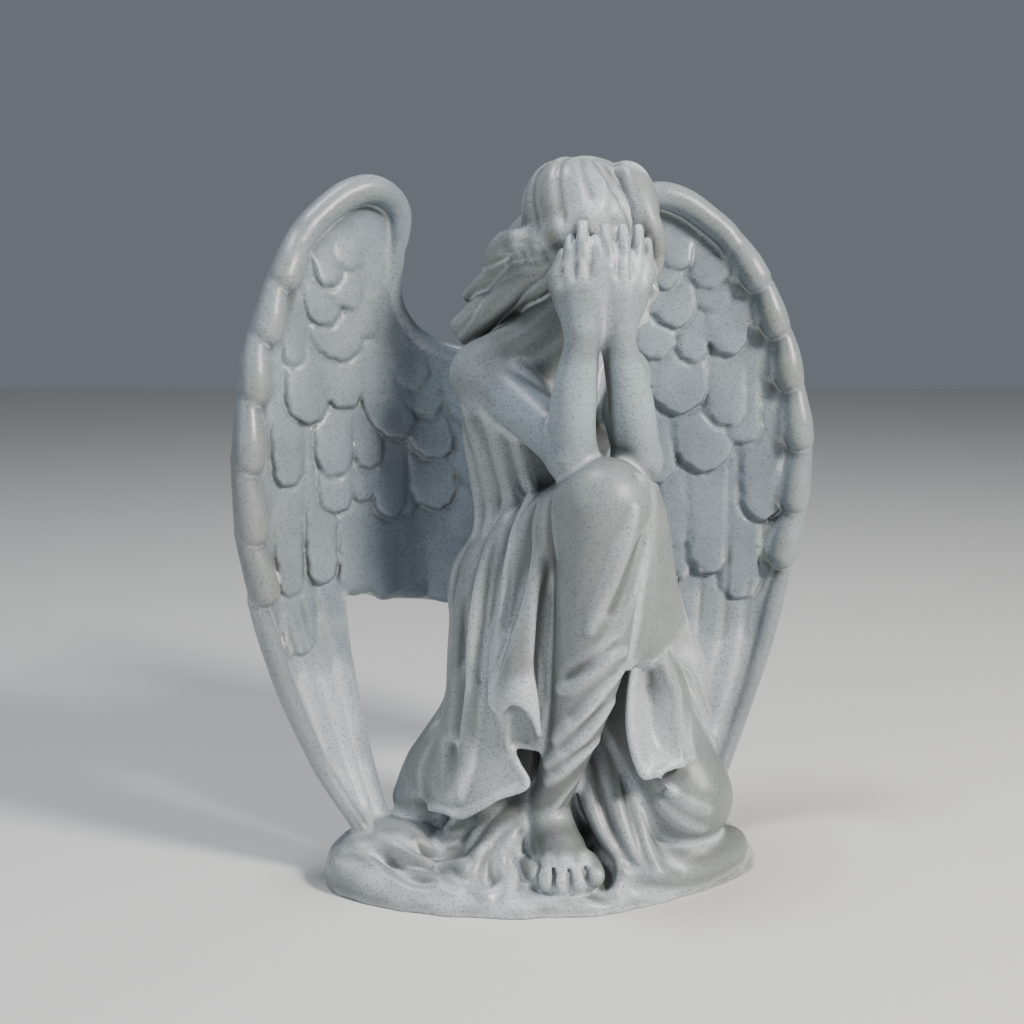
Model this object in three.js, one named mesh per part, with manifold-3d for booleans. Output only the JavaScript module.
// Small memorial angel: a kneeling, draped figure hides the face in both hands between two tall
// cupped wings. Figure, wings and ground are cast in one piece.
// Millimetres, +Z up, origin in the middle of the flat underside, figure facing front and right.
import * as THREE from 'three';
import Module from 'manifold-3d';

const wasm = await Module();
wasm.setup();

// ---------- driving dimensions ----------
const HEIGHT = 300;                 // underside to the crown of the hair
const WING_YAW = 21;                // degrees that figure and wings are turned on the base
const WING_CENTRE = [0, 20];        // where the two wings meet behind the back, X and Y
const WING_ROOT = 3;                // nearest the wings come to their own middle line
const WING_WALL = 5.4;              // thickness of the wing blade
const PANEL_HEM = 112;              // height of the wing's lower feather hem beside the body
const HEM_RISE = 0.13;              // slope of that hem, rising outwards
const BASE_CENTRE = [2, 3];
const SHORTEST_EDGE = 1.8;          // joins finer than this are closed up
const TUBE_SIDES = 7;
const SOFT = { steps: 4, sides: 6 }; // folds of cloth

const UP = new THREE.Vector3(0, 0, 1);
const yaw = THREE.MathUtils.degToRad(WING_YAW);
const v = (x, y, z) => new THREE.Vector3(x, y, z);
const points = (list) => list.map(([x, y, z]) => v(x, y, z));
const smoothStep = (x, low, high) => THREE.MathUtils.smoothstep(x, low, high);

// value at a key of the straight-line graph through [key, value] pairs, keys rising
function along(pairs, key) {
  const last = pairs.length - 1;
  if (key <= pairs[0][0]) return pairs[0][1];
  if (key >= pairs[last][0]) return pairs[last][1];
  const i = pairs.findIndex(([k]) => k > key) - 1;
  const [k0, a] = pairs[i];
  const [k1, b] = pairs[i + 1];
  return a + (b - a) * (key - k0) / (k1 - k0);
}

// ---------- closed solids ----------
function toSolid(vertices, faces) {
  let volume = 0;
  for (const [i, j, k] of faces) {
    volume += vertices[i].dot(vertices[j].clone().cross(vertices[k]));
  }
  const triVerts = new Uint32Array(faces.flatMap(([i, j, k]) => (volume > 0 ? [i, j, k] : [i, k, j])));
  const vertProperties = new Float32Array(vertices.flatMap((p) => [p.x, p.y, p.z]));
  return new wasm.Manifold(new wasm.Mesh({ numProp: 3, vertProperties, triVerts }));
}

// rings of equal count joined in order, both ends closed to their middle point
function loft(rings) {
  const sides = rings[0].length;
  const vertices = rings.flat();
  const faces = [];
  for (let r = 0; r + 1 < rings.length; r += 1) {
    for (let s = 0; s < sides; s += 1) {
      const a = r * sides + s;
      const b = r * sides + (s + 1) % sides;
      faces.push([a, b, b + sides], [a, b + sides, a + sides]);
    }
  }
  for (const end of [0, rings.length - 1]) {
    const middle = rings[end].reduce((sum, p) => sum.add(p), v(0, 0, 0)).divideScalar(sides);
    const index = vertices.push(middle) - 1;
    for (let s = 0; s < sides; s += 1) {
      const a = end * sides + s;
      const b = end * sides + (s + 1) % sides;
      faces.push(end === 0 ? [b, a, index] : [a, b, index]);
    }
  }
  return toSolid(vertices, faces);
}

// a limb, lock or fold: a round or oval bar through points, with round ends; its rings keep
// their turn from one to the next, and radii are numbers or [across, along reference] pairs
function limb(path, radii, { steps = 4, sides = TUBE_SIDES, reference = UP } = {}) {
  const curve = new THREE.CatmullRomCurve3(points(path));
  const pairs = radii.map((r) => (Array.isArray(r) ? r : [r, r]));
  const rings = [];
  let side = curve.getTangent(0).cross(reference);
  const ringAt = (t, scale, shift) => {
    const place = t * (pairs.length - 1);
    const i = Math.min(Math.floor(place + 1e-9), pairs.length - 2);
    const [wide, high] = [0, 1].map((k) => THREE.MathUtils.lerp(pairs[i][k], pairs[i + 1][k], place - i));
    const ahead = curve.getTangent(t);
    side = side.clone().projectOnPlane(ahead).normalize();
    const lift = side.clone().cross(ahead);
    const centre = curve.getPoint(t).addScaledVector(ahead, shift * Math.min(wide, high));
    const ring = [];
    for (let s = 0; s < sides; s += 1) {
      const angle = 2 * Math.PI * s / sides;
      ring.push(centre.clone()
        .addScaledVector(side, Math.cos(angle) * wide * scale)
        .addScaledVector(lift, Math.sin(angle) * high * scale));
    }
    rings.push(ring);
  };
  ringAt(0, 0.55, -0.8);
  for (let k = 0; k <= steps; k += 1) ringAt(k / steps, 1, 0);
  ringAt(1, 0.55, 0.8);
  return loft(rings);
}

// an egg whose first and last rings reach its full height
function egg([x, y, z], [rx, ry, rz], { around = 12, down = 8 } = {}) {
  const rings = [];
  const first = 0.5 * Math.PI / down;
  for (let r = 0; r < down; r += 1) {
    const tilt = first + Math.PI * r / down;
    const ring = [];
    for (let s = 0; s < around; s += 1) {
      const angle = 2 * Math.PI * s / around;
      ring.push(v(
        x + rx * Math.sin(tilt) * Math.cos(angle),
        y + ry * Math.sin(tilt) * Math.sin(angle),
        z + rz * Math.cos(tilt) / Math.cos(first),
      ));
    }
    rings.push(ring);
  }
  return loft(rings);
}

// a plate between two equal grids of points, its four edges closed
function plate(front, back) {
  const rows = front.length;
  const columns = front[0].length;
  const vertices = [...front.flat(), ...back.flat()];
  const faces = [];
  const at = (layer, r, c) => layer * rows * columns + r * columns + c;
  const wall = (r0, c0, r1, c1) => {
    faces.push([at(0, r0, c0), at(1, r0, c0), at(1, r1, c1)]);
    faces.push([at(0, r0, c0), at(1, r1, c1), at(0, r1, c1)]);
  };
  for (let r = 0; r + 1 < rows; r += 1) {
    for (let c = 0; c + 1 < columns; c += 1) {
      faces.push([at(0, r, c), at(0, r + 1, c), at(0, r + 1, c + 1)]);
      faces.push([at(0, r, c), at(0, r + 1, c + 1), at(0, r, c + 1)]);
      faces.push([at(1, r, c), at(1, r + 1, c + 1), at(1, r + 1, c)]);
      faces.push([at(1, r, c), at(1, r, c + 1), at(1, r + 1, c + 1)]);
    }
    wall(r, 0, r + 1, 0);
    wall(r + 1, columns - 1, r, columns - 1);
  }
  for (let c = 0; c + 1 < columns; c += 1) {
    wall(0, c + 1, 0, c);
    wall(rows - 1, c, rows - 1, c + 1);
  }
  return toSolid(vertices, faces);
}

function sheet(rows, thickness, towards) {
  const front = rows.map((row) => points(row));
  const back = front.map((row) => row.map((p) => p.clone().addScaledVector(towards, -thickness)));
  return plate(front, back);
}

// ---------- wings ----------
// a: distance out from the statue's middle plane, b: distance behind the wings' centre, z: height
function wingPoint(side, a, b, z) {
  const x = WING_CENTRE[0] + side * a * Math.cos(yaw) - b * Math.sin(yaw);
  const y = WING_CENTRE[1] + side * a * Math.sin(yaw) + b * Math.cos(yaw);
  return v(x, y, z);
}

const EDGE_OUT = [[13, 80], [50, 102], [80, 114.5], [110, 124], [150, 132], [180, 133], [220, 127],
  [250, 115.5], [270, 103.5], [283, 91], [288, 80], [294, 70]];
const EDGE_BACK = [[13, -12], [50, -1], [110, 2.5], [180, -2], [220, 4], [250, 8], [270, 16], [291, 25]];
const INNER_EDGE = [[238, 54], [250, 58.5], [258, 58.5], [268, 54], [279, 52], [285, 58], [288, 66]];
const PANEL_RIM = [[3, 213], [18, 218], [32, 222], [43, 227], [50, 234], [56, 244], [60, 248]];
const PANEL_TOP = 248;              // where the broad panel passes into the tip
const STRIP_EDGE = [[13, 66], [33, 71], [52, 74], [73, 77], [93, 79], [117, 81]];
const WIDER_STRIP = 9;              // how much further in the strip of the figure's left wing reaches

const ROOT_FORWARD = 27;            // how far the blade bends forward to its root on the back
const ROOT_BEND = 48;               // distance out where that bend starts
const cupDepth = (z) => THREE.MathUtils.clamp(5 + (z - 17) * 0.45, 5, 40);

function bladeBack(a, z) {
  const out = along(EDGE_OUT, z);
  const back = along(EDGE_BACK, z);
  const inward = THREE.MathUtils.clamp((out - a) / (out - WING_ROOT), 0, 1);
  const cupped = back + (cupDepth(z) - back) * (1 - (1 - inward) ** 1.5);
  return cupped - ROOT_FORWARD * smoothStep(ROOT_BEND - a, 0, ROOT_BEND - WING_ROOT);
}

const hem = (a) => PANEL_HEM + HEM_RISE * (a - 52);

// part of the blade: a grid of places [a, z] given by row value and by fraction across
function bladePatch(side, rows, columns, placeOf) {
  const layer = (offset) => rows.map((row) => {
    const line = [];
    for (let c = 0; c <= columns; c += 1) {
      const [a, z] = placeOf(row, c / columns);
      line.push(wingPoint(side, a, bladeBack(a, z) + offset, z));
    }
    return line;
  });
  return plate(layer(-WING_WALL / 2), layer(WING_WALL / 2));
}

function blade(side, wider) {
  const acrossTo = (from, z, f) => THREE.MathUtils.lerp(from, along(EDGE_OUT, z) - 3, f);
  const stripEdge = (z) => along(STRIP_EDGE, z) - wider * smoothStep(z, 40, 80);
  return [
    bladePatch(side, [0, 0.17, 0.34, 0.5, 0.67, 0.84, 1], 9, (s, f) => {
      const a = acrossTo(WING_ROOT, THREE.MathUtils.lerp(PANEL_HEM, PANEL_TOP, s), f);
      return [a, THREE.MathUtils.lerp(hem(a), along(PANEL_RIM, a), s)];
    }),
    bladePatch(side, [238, 250, 260, 270, 281, 288], 4, (z, f) => [acrossTo(along(INNER_EDGE, z), z, f), z]),
    bladePatch(side, [13, 40, 73, 128], 2, (z, f) => [acrossTo(stripEdge(z), z, f), z]),
  ];
}

// one feather: a round-ended tongue lying on the blade, proudest near its free end;
// rows of [fraction of the length, share of the width, height above the blade]
const FEATHER_ROWS = [[0, 0.9, -0.8], [0.12, 1, 0.5], [0.6, 1, 1.7], [0.87, 0.74, 2.1], [1, 0.34, 1.8]];
const FEATHER_CROWN = 0.7;          // extra height along its middle

function feather(side, [a, z, width, length, lean = 0]) {
  const grid = (heightOf) => FEATHER_ROWS.map(([s, share, proud]) => [-1, 0, 1].map((c) => {
    const across = a + c * share * width / 2 + lean * (1 - s) * length;
    const height = z + (1 - s) * length;
    return wingPoint(side, across, bladeBack(across, height) - heightOf(proud, c, s), height);
  }));
  const front = (proud, c, s) => WING_WALL / 2 + proud + (c === 0 ? FEATHER_CROWN * s : 0);
  return plate(grid(front), grid(() => 0));
}

const FEATHERS_RIGHT_OF_FIGURE = [
  [87, 247, 13, 16], [77, 237, 14, 16], [89, 231, 15, 18], [80, 217, 26, 22],
  [98, 193, 20, 26], [80, 197, 18, 22], [56, 184, 22, 30, 0.2], [37, 173, 20, 26], [44, 192, 15, 18],
  [108, 168, 15, 26], [86, 170, 20, 26], [69, 171, 16, 20],
  [86, 153, 17, 26], [72, 156, 12, 18], [59, 149, 15, 26], [38, 151, 18, 26],
  [108, 121, 12, 40], [93, 124, 13, 42], [76, 113, 16, 30], [61, 110.5, 15, 30], [46, 110.5, 16, 30],
  [31, 107.5, 15, 34],
];
const FEATHERS_LEFT_OF_FIGURE = [
  [76, 254, 13, 14], [88, 246, 14, 18], [71, 245, 13, 14], [74, 229, 18, 20],
  [64, 215, 16, 20], [81, 213, 14, 20], [98, 216, 17, 24],
  [76, 190, 24, 28], [97, 184, 16, 26], [104, 176, 12, 24], [50, 190, 20, 26],
  [87, 163, 26, 30], [62, 162, 20, 30], [111, 142, 15, 40],
  [89, 116, 17, 50], [72, 128, 14, 34], [50, 130, 18, 34], [34, 150, 16, 30],
  [76, 113, 16, 26], [61, 110.5, 15, 24], [46, 110.5, 16, 26], [31, 107.5, 15, 30],
];

// the thick leading edge: a plain roll over the top, then overlapping scales, each ending proud
// over the one below, then a thin bead down to the tip: [a, z, radius]
const TOP_ROLL = [[59, 246, 2.4], [56.5, 262, 4], [53.6, 274, 5], [58.5, 283.5, 5.8], [68, 288, 6],
  [79, 284.5, 6], [90, 276.5, 6]];
const SCALE_ENDS = [267, 247, 226, 202, 175, 146, 121];
const BEAD = [[112, 3.6], [90, 3.2], [68, 3], [45, 3], [25, 3], [14, 2.6]];

function leadingEdge(side) {
  const onEdge = (z, radius) => [along(EDGE_OUT, z) - radius + 0.4, z, radius];
  const stations = [...TOP_ROLL];
  for (let i = 0; i + 1 < SCALE_ENDS.length; i += 1) {
    const [top, end] = [SCALE_ENDS[i], SCALE_ENDS[i + 1]];
    stations.push(onEdge(top, 4.6), onEdge((top + end) / 2, 6), onEdge(end + 2, 6.6));
  }
  stations.push(...BEAD.map(([z, radius]) => onEdge(z, radius)));
  const back = v(-Math.sin(yaw), Math.cos(yaw), 0);
  const path = stations.map(([a, z, r]) => wingPoint(side, a, bladeBack(a, z) + 2 - r, z).toArray());
  const radii = stations.map(([, , radius]) => radius);
  return limb(path, radii, { steps: path.length - 1, sides: 6, reference: back });
}

// the swell between the shoulder blades that carries both wings
function wingRoots() {
  const spine = [[124, 5], [165, 7], [198, 7], [214, 4]].map(([z, b]) => wingPoint(1, 0, b, z).toArray());
  const back = v(-Math.sin(yaw), Math.cos(yaw), 0);
  return limb(spine, [[12, 8], [15, 10], [17, 11], [12, 8]], { steps: 4, sides: 8, reference: back });
}

// the rounded upper rim from the shoulder out to the tip
function innerRim(side) {
  const path = [[6, 214], [20, 218.5], [34, 222.5], [45, 228.5], [52.5, 237], [58.5, 249]]
    .map(([a, z]) => wingPoint(side, a, bladeBack(a, z), z).toArray());
  return limb(path, [3.6, 3.6, 3.6, 3.6, 3.4, 2.6], { steps: 6, sides: 6 });
}

function wing(side, feathers, wider) {
  return [
    ...blade(side, wider),
    leadingEdge(side),
    innerRim(side),
    ...feathers.map((size) => feather(side, size)),
  ];
}

// ---------- figure ----------
const SHOULDER_R = [-24, -5, 212];
const SHOULDER_L = [34, 12, 211];
const ELBOW_R = [12, -39, 183];
const ELBOW_L = [38, -29, 181];
const WRIST_R = [16, -46, 232];
const WRIST_L = [28, -43, 232];
const HIP_R = [-14, 4, 122];
const KNEE_R = [24, -43, 163];
const ANKLE_R = [8, -24, 36];
const HIP_L = [22, 10, 120];
const KNEE_L = [61, -19, 35];

// [height, centre x, centre y, half width, half depth], turned with the wings
const ROBE = [
  [16, 6, 4, 56, 30], [38, 8, 7, 45, 27], [66, 7, 9, 38, 25], [98, 4, 9, 35, 25], [126, 1, 8, 31, 23],
];
const ROBE_SIDES = 27;
const ROBE_FOLDS = 9;
const ROBE_FOLD_DEPTH = 0.06;       // share of the radius
const TORSO = [
  [92, 0, 6, 30, 22], [118, 0, 6, 32, 23], [140, -3, 6, 27, 19], [157, -3, 6, 26, 17], [175, -1, 5, 30, 17.5],
  [193, 2, 4, 36, 18.5], [206, 4, 3.5, 34, 17.5], [216, 5, 3, 27, 14], [224, 7, 1, 16, 12],
];

function turnedOvals(sections, sides, folds = 0, depth = 0) {
  return loft(sections.map(([z, x, y, wide, deep]) => {
    const ring = [];
    for (let s = 0; s < sides; s += 1) {
      const angle = 2 * Math.PI * s / sides;
      const ripple = 1 + depth * Math.cos(folds * angle);
      const out = wide * Math.cos(angle) * ripple;
      const back = deep * Math.sin(angle) * ripple;
      const turnedX = out * Math.cos(yaw) - back * Math.sin(yaw);
      const turnedY = out * Math.sin(yaw) + back * Math.cos(yaw);
      ring.push(v(x + turnedX, y + turnedY, z));
    }
    return ring;
  }));
}

function arms() {
  return [
    limb([SHOULDER_R, [-8, -21, 199], ELBOW_R], [12, 11, 9.5], { steps: 4 }),
    limb([ELBOW_R, [12, -43, 200], WRIST_R], [9.8, 8.8, 6.3], { steps: 4 }),
    limb([SHOULDER_L, [38, -8, 196], ELBOW_L], [12, 10.5, 9], { steps: 4 }),
    limb([ELBOW_L, [34, -38, 204], WRIST_L], [9.8, 9, 6], { steps: 4 }),
  ];
}

function hand(wrist, knuckles, thickness, fingers) {
  const across = v(...knuckles[1]).sub(v(...knuckles[0]));
  const middle = v(...knuckles[0]).addScaledVector(across, 0.5).toArray();
  const reach = across.length() / 2;
  const pieces = [limb([wrist, middle], [[6.4, 5.6], [reach, thickness]], {
    steps: 3, reference: v(0, -1, 0),
  })];
  fingers.forEach((tip, i) => {
    const root = v(...knuckles[0]).addScaledVector(across, (i + 0.5) / fingers.length);
    const bend = root.clone().lerp(v(...tip), 0.55).add(v(0, -1.5, 0));
    pieces.push(limb([root.toArray(), bend.toArray(), tip], [3.1, 2.9, 2.1], { steps: 2, sides: 5 }));
  });
  return pieces;
}

function hands() {
  return [
    ...hand(WRIST_R, [[7.5, -42, 254], [23.5, -46, 255]], 6, [
      [10, -39, 263], [12, -40, 267], [16, -42, 269], [23.5, -42, 268],
    ]),
    ...hand(WRIST_L, [[26, -45, 255], [39, -37, 255]], 6, [
      [27, -41, 264], [30.5, -42, 268.5], [36.5, -38, 269], [40, -33, 264],
    ]),
  ];
}

function head() {
  return [
    limb([[7, 4, 214], [10, -2, 230], [16, -8, 248]], [11.5, 9.5, 11], { steps: 3 }),
    egg([22, -17, 258], [16.5, 17, 22]),
    limb([[24, -34, 262], [24, -37, 252]], [2.4, 3.4], { steps: 2, sides: 6 }),
    egg([18, -6, 270.5], [26.5, 25, HEIGHT - 270.5], { around: 14 }),
    egg([9, -13, 274], [18.5, 19, 23.5]),
    limb([[26, 10, 284], [10, 15, 271], [-8, 15, 258], [-23, 14, 247]], [9, 12, 10, 5]),
    limb([[30, 10, 270], [16, 15, 257], [-2, 15, 247], [-20, 13, 238]], [9, 13, 11, 5]),
    limb([[27, 8, 256], [16, 11, 246], [4, 10, 241], [-8, 9, 238]], [10, 11, 9, 5]),
  ];
}

function locks() {
  return [
    limb([[24, -26, 284], [13, -31, 275], [0, -24, 266], [-10, -10, 264], [-16, 2, 259]], [3, 5, 6.5, 7.5, 5.5], {
      steps: 5,
    }),
    limb([[10, -24, 264], [-3, -14, 257], [-15, 0, 250], [-28, 11, 244]], [4.5, 6.5, 6.5, 3.8]),
    limb([[8, -20, 257], [-4, -9, 247], [-19, 3, 238], [-33, 11, 230]], [4.5, 6.5, 7.5, 6]),
    limb([[25, -20, 293], [35, -29, 283], [43, -25, 270], [44, -18, 261]], [3.5, 5.5, 5, 4.5]),
    limb([[43, -20, 262], [40, -24, 248], [39, -24, 238], [35, -26, 230]], [5, 4, 3.6, 2.4]),
  ];
}

function legs() {
  return [
    limb([HIP_R, [4, -20, 146], KNEE_R], [25, 20, 17.5], { steps: 3, sides: 8 }),
    limb([KNEE_R, [21, -41, 110], [17, -37, 84], [12, -31, 60], ANKLE_R], [18, 17, 14.5, 10.5, 9], {
      steps: 5, sides: 8,
    }),
    limb([[6, -20, 17], [10, -33, 17], [18, -47, 14]], [[9, 9], [10.5, 10], [10.5, 6.5]], { steps: 3 }),
    limb([[5, -16, 20], ANKLE_R], [9, 8], { steps: 2 }),
    limb([HIP_L, [42, -2, 78], KNEE_L], [26, 23, 18.5], { steps: 3, sides: 8 }),
    limb([KNEE_L, [36, 2, 28], [0, 9, 26], [-34, 5, 28], [-53, -2, 30]], [18, 17, 14, 12, 9]),
  ];
}

// ---------- drapery ----------
// the skirt hangs from hip and raised thigh: [height, x, y, half length, half width, fold depth]
const THIGH_TURN = THREE.MathUtils.degToRad(-52);
const SKIRT = [
  [150, -3, -13, 19, 15, 0], [132, -11, -11, 29, 17, 1.5], [110, -14, -10, 33, 18, 2.5],
  [85, -16, -10, 33, 17, 3], [64, -17, -9, 31, 17, 3],
];
const SKIRT_FOLDS = 11;
const SKIRT_SIDES = 33;

function skirt() {
  return loft(SKIRT.map(([z, x, y, long, wide, fold]) => {
    const ring = [];
    for (let s = 0; s < SKIRT_SIDES; s += 1) {
      const angle = 2 * Math.PI * s / SKIRT_SIDES;
      const ripple = 1 + fold / wide * Math.cos(SKIRT_FOLDS * angle);
      const l = long * Math.cos(angle);
      const w = wide * Math.sin(angle) * ripple;
      ring.push(v(
        x + l * Math.cos(THIGH_TURN) - w * Math.sin(THIGH_TURN),
        y + l * Math.sin(THIGH_TURN) + w * Math.cos(THIGH_TURN),
        z,
      ));
    }
    return ring;
  }));
}

function folds() {
  return [
    limb([[9, -33, 166], [1, -41, 146], [-2, -43, 118], [-4, -43, 84]], [3, 4.5, 5, 5.5], SOFT),
    limb([[-3, -25, 157], [-13, -29, 134], [-16, -29, 112], [-21, -28, 74]], [3, 6, 6, 6], SOFT),
    limb([[-12, -14, 150], [-22, -19, 132], [-26, -19, 106], [-29, -18, 66]], [3, 6, 6, 6], SOFT),
    limb([[40, -46, 150], [38, -50, 130], [30, -52, 105], [22, -50, 82], [14, -42, 62]], [4, 5, 5, 4.5, 3.5], SOFT),
  ];
}

function hems() {
  const forward = v(-0.35, -0.94, 0);
  const sideways = v(0.6, -0.8, 0);
  return [
    sheet([
      [[34, -52, 168], [41, -46, 168], [44, -37, 168]],
      [[36, -54, 150], [44, -46, 150], [48, -34, 150]],
      [[37, -51, 130], [46, -41, 130], [51, -30, 130]],
      [[40, -45, 114], [50, -37, 115], [58, -25, 117]],
      [[42, -38, 100], [50, -34, 105], [59, -26, 112]],
    ], 7, sideways),
    sheet([
      [[-18, -36, 104], [-12, -42, 104], [-5, -47, 104], [0, -44, 104]],
      [[-20, -37, 92], [-13, -44, 92], [-5, -50, 88], [1, -46, 84]],
      [[-20, -38, 84], [-13, -46, 85], [-5, -51, 79], [0, -46, 67]],
    ], 4, forward),
    sheet([
      [[-36, -18, 84], [-24, -28, 84], [-14, -34, 82], [-8, -36, 80]],
      [[-42, -20, 60], [-30, -30, 58], [-16, -38, 60], [-7, -40, 62]],
      [[-44, -20, 36], [-34, -31, 32], [-20, -38, 41], [-6, -40, 50]],
    ], 9, forward),
    limb([[-28, 8, 68], [-38, 4, 56], [-49, 0, 43], [-54, -2, 33]], [9, 11, 10.5, 8], SOFT),
    limb([[-22, -6, 66], [-30, -12, 48], [-38, -16, 38]], [16, 15, 11], { ...SOFT, steps: 3 }),
    limb([[45, -16, 98], [38, -22, 84], [38, -28, 66], [42, -35, 54]], [6, 5, 4.5, 4], SOFT),
    limb([[56, -14, 92], [60, -20, 72], [60, -28, 55]], [8, 7, 5], { ...SOFT, steps: 3 }),
    limb([[50, 8, 106], [60, 6, 92], [65, 2, 74]], [9, 8, 6], { ...SOFT, steps: 3 }),
  ];
}

// ---------- ground ----------
const GROUND = [[-90, -18], [-84, -34], [-65, -47], [-44, -55], [-16, -59], [7, -58], [27, -55], [48, -44],
  [66, -31], [82, -17], [93, -2], [90, 20], [85, 42], [64, 57], [32, 64], [-8, 63], [-44, 53], [-72, 31], [-87, 6]];

const RIM_POINTS = 32;

function ground() {
  const outline = new THREE.CatmullRomCurve3(GROUND.map(([x, y]) => v(x, y, 0)), true);
  const rim = outline.getPoints(RIM_POINTS).slice(0, RIM_POINTS);
  const ringAt = (scale, heightOf) => rim.map((p) => {
    const x = BASE_CENTRE[0] + (p.x - BASE_CENTRE[0]) * scale;
    const y = BASE_CENTRE[1] + (p.y - BASE_CENTRE[1]) * scale;
    return v(x, y, heightOf(x, y));
  });
  const lift = (x, y) => 9 + 7 * smoothStep(-x, 40, 85) + 4 * smoothStep(x, 50, 85);
  const ripple = (x, y) => 1.5 * Math.sin(Math.hypot(x - KNEE_L[0], y - KNEE_L[1]) / 4.2);
  return loft([
    ringAt(0.98, () => 0),
    ringAt(1, (x, y) => lift(x, y) * 0.45),
    ringAt(0.975, (x, y) => lift(x, y) * 0.9),
    ringAt(0.9, (x, y) => lift(x, y) + 2 + ripple(x, y)),
    ringAt(0.66, (x, y) => lift(x, y) + 6 + ripple(x, y)),
    ringAt(0.3, (x, y) => lift(x, y) + 9),
  ]);
}

function groundCloth() {
  return [
    limb([[30, -24, 48], [36, -36, 27], [52, -46, 14], [74, -38, 13], [87, -18, 14]], [4, 4.5, 4.5, 4.5, 4], SOFT),
    limb([[26, -26, 36], [30, -40, 18], [46, -50, 9], [66, -42, 8]], [3.5, 4, 4, 3], SOFT),
    limb([[-22, -26, 28], [-30, -38, 17], [-46, -45, 12], [-66, -40, 12]], [4, 4.5, 4.5, 4], SOFT),
    limb([[-12, -30, 24], [-16, -44, 14], [-34, -52, 8]], [4, 4, 3], { ...SOFT, steps: 3 }),
    limb([[-44, -22, 24], [-58, -30, 19], [-76, -28, 16]], [6, 6, 5], { ...SOFT, steps: 3 }),
    egg([-64, -12, 16], [20, 18, 9]),
  ];
}

// ---------- the casting ----------
function join(pieces) {
  return pieces.reduce((whole, piece) => whole.add(piece));
}

function slabAbove(height) {
  const ring = (z) => [[-1, -1], [1, -1], [1, 1], [-1, 1]].map(([x, y]) => v(x * HEIGHT, y * HEIGHT, z));
  return loft([ring(0), ring(height)]);
}

const casting = join([
  ground(), ...groundCloth(),
  turnedOvals(ROBE, ROBE_SIDES, ROBE_FOLDS, ROBE_FOLD_DEPTH), turnedOvals(TORSO, 14),
  ...legs(), skirt(), ...folds(), ...hems(),
  ...arms(), ...hands(), ...head(), ...locks(),
  wingRoots(), ...wing(-1, FEATHERS_RIGHT_OF_FIGURE, 0), ...wing(1, FEATHERS_LEFT_OF_FIGURE, WIDER_STRIP),
]).intersect(slabAbove(HEIGHT));

// the outer surface alone: folds that cross leave small sealed pockets inside, which the casting fills
function outerSurface({ vertProperties, triVerts }) {
  const places = [];
  for (let i = 0; i < vertProperties.length; i += 3) places.push(v(...vertProperties.slice(i, i + 3)));
  const owner = places.map((_, i) => i);
  const find = (i) => {
    let top = i;
    while (owner[top] !== top) top = owner[top];
    owner[i] = top;
    return top;
  };
  const triangles = [];
  for (let t = 0; t < triVerts.length; t += 3) {
    const corners = [...triVerts.slice(t, t + 3)];
    corners.forEach((corner) => { owner[find(corner)] = find(corners[0]); });
    triangles.push(corners);
  }
  const sizes = new Map();
  for (const [corner] of triangles) sizes.set(find(corner), (sizes.get(find(corner)) ?? 0) + 1);
  const outer = [...sizes.entries()].sort((a, b) => b[1] - a[1])[0][0];
  return { places, triangles: triangles.filter(([corner]) => find(corner) === outer) };
}

// joins leave edges far shorter than anything carved: each is drawn together at one of its ends,
// where that folds nothing over
function closeShortEdges({ places, triangles }, shortest) {
  const around = places.map(() => new Set());
  triangles.forEach((corners, t) => corners.forEach((corner) => around[corner].add(t)));
  const neighbours = (p) => new Set([...around[p]].flatMap((t) => triangles[t]).filter((n) => n !== p));
  const normal = ([a, b, c]) => places[b].clone().sub(places[a]).cross(places[c].clone().sub(places[a]));
  const staysFlat = (p, q) => [...around[p]].every((t) => {
    if (triangles[t].includes(q)) return true;
    const before = normal(triangles[t]);
    const after = normal(triangles[t].map((corner) => (corner === p ? q : corner)));
    return after.length() > 0.02 && before.dot(after) > 0.85 * before.length() * after.length();
  });
  const mayMove = (p, q) => places[p].z > 1e-4 || places[q].z <= 1e-4;
  const drawIn = (p, q) => {
    if (!mayMove(p, q) || !staysFlat(p, q)) return false;
    for (const t of [...around[p]]) {
      const gone = triangles[t].includes(q);
      triangles[t].forEach((corner) => { if (gone) around[corner].delete(t); });
      if (!gone) {
        triangles[t] = triangles[t].map((corner) => (corner === p ? q : corner));
        around[q].add(t);
      }
    }
    around[p].clear();
    return true;
  };
  for (let p = 0; p < places.length; p += 1) {
    for (const q of neighbours(p)) {
      if (around[p].size === 0) break;
      if (!neighbours(p).has(q) || places[p].distanceTo(places[q]) > shortest) continue;
      const mine = neighbours(p);
      const shared = [...neighbours(q)].filter((n) => mine.has(n));
      if (shared.length === 2 && mine.size > 3) drawIn(p, q) || drawIn(q, p);
    }
  }
  const kept = [...new Set(around.flatMap((set) => [...set]))].map((t) => triangles[t]);
  return { places, triangles: kept };
}

const { places, triangles } = closeShortEdges(outerSurface(casting.getMesh()), SHORTEST_EDGE);
const geometry = new THREE.BufferGeometry();
geometry.setAttribute('position', new THREE.Float32BufferAttribute(places.flatMap((p) => p.toArray()), 3));
geometry.setIndex(triangles.flat());
geometry.computeVertexNormals();

const stone = new THREE.MeshStandardMaterial({ color: '#aeb4b2', roughness: 0.62, metalness: 0 });
const statue = new THREE.Mesh(geometry, stone);
statue.name = 'angel_statue';

const part = new THREE.Group();
part.add(statue);

export default part;
